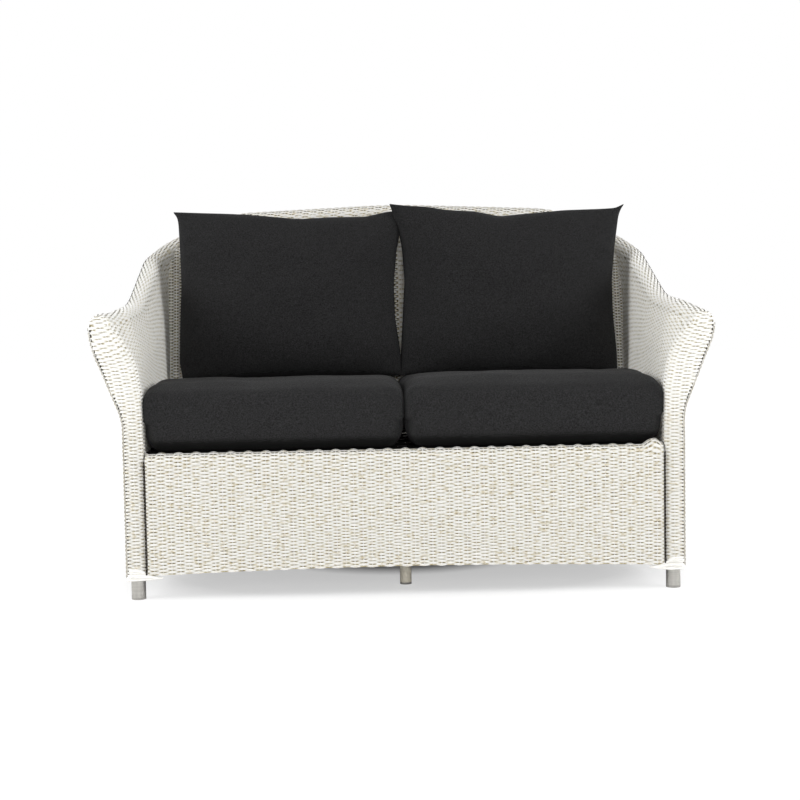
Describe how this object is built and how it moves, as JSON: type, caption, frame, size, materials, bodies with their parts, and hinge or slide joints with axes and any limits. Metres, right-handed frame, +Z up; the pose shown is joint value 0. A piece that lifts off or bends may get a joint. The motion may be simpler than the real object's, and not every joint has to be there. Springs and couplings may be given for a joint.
{
  "type": "patio loveseat",
  "caption": "Low two-seat outdoor sofa: flared woven wicker shell with a camel back on a welded tube frame, boxed seat cushions and knife-edge back pillows.",
  "frame": {"origin": "on the floor, under the middle of the whole seat's box", "axes": "+X to the right of the front view, along the seat's width; -Y towards the front, where the sitter's legs hang; +Z up"},
  "size_m": [1.5006, 0.88, 0.9881],
  "materials": {
    "leg_tube": "fine brushed along the turn, satin",
    "frame_tube": "mill finish, hidden in the weave",
    "wicker": "ivory flat synthetic wicker with tan flecks, plain weave",
    "wrap_strand": "smooth ivory strand, wound side by side",
    "glide": "moulded nylon, satin",
    "webbing": "woven elastic webbing",
    "seat_fabric": "charcoal plain-weave outdoor cloth",
    "pillow_fabric": "black plain-weave outdoor cloth"
  },
  "bodies": {
    "frame": {"arm_front_post_left": "frame_tube", "arm_front_post_right": "frame_tube", "arm_middle_post_left": "frame_tube", "arm_middle_post_right": "frame_tube", "arm_rail_left": "frame_tube", "arm_rail_right": "frame_tube", "back_corner_post_left": "frame_tube", "back_corner_post_right": "frame_tube", "back_top_rail": "frame_tube", "back_upright_centre": "frame_tube", "back_upright_left": "frame_tube", "back_upright_right": "frame_tube", "centre_leg": "leg_tube", "corner_wrap_left": "wrap_strand", "corner_wrap_right": "wrap_strand", "deck_straps_across": "webbing", "deck_straps_front_to_back": "webbing", "front_leg_left": "leg_tube", "front_leg_right": "leg_tube", "glide_centre": "glide", "glide_front_left": "glide", "glide_front_right": "glide", "glide_rear_left": "glide", "glide_rear_right": "glide", "rear_leg_left": "leg_tube", "rear_leg_right": "leg_tube", "rim_rod_front": "frame_tube", "rim_rod_left": "frame_tube", "rim_rod_rear": "frame_tube", "rim_rod_right": "frame_tube", "seat_rail_front": "frame_tube", "seat_rail_left": "frame_tube", "seat_rail_rear": "frame_tube", "seat_rail_right": "frame_tube", "seat_spreader": "frame_tube", "woven_arm_roll_left": "wicker", "woven_arm_roll_right": "wicker", "woven_back_roll": "wicker", "woven_front_band_left": "wicker", "woven_front_band_right": "wicker", "woven_front_skirt": "wicker", "woven_inside_arm_left": "wicker", "woven_inside_arm_right": "wicker", "woven_inside_back": "wicker", "woven_outside_arm_left": "wicker", "woven_outside_arm_right": "wicker", "woven_outside_back": "wicker"},
    "seat_cushion_left_body": {"seat_cushion_left": "seat_fabric"},
    "seat_cushion_right_body": {"seat_cushion_right": "seat_fabric"},
    "back_pillow_left_body": {"back_pillow_left": "pillow_fabric"},
    "back_pillow_right_body": {"back_pillow_right": "pillow_fabric"}
  },
  "joints": [
    {"name": "seat_cushion_left_lift", "type": "slide", "parent": "frame", "child": "seat_cushion_left_body", "axis": [0, 0, 1], "range_m": [0, 0.36]},
    {"name": "back_pillow_left_lift", "type": "slide", "parent": "seat_cushion_left_body", "child": "back_pillow_left_body", "axis": [0, 0, 1], "range_m": [0, 0.5]},
    {"name": "seat_cushion_right_lift", "type": "slide", "parent": "frame", "child": "seat_cushion_right_body", "axis": [0, 0, 1], "range_m": [0, 0.36]},
    {"name": "back_pillow_right_lift", "type": "slide", "parent": "seat_cushion_right_body", "child": "back_pillow_right_body", "axis": [0, 0, 1], "range_m": [0, 0.5]}
  ]
}
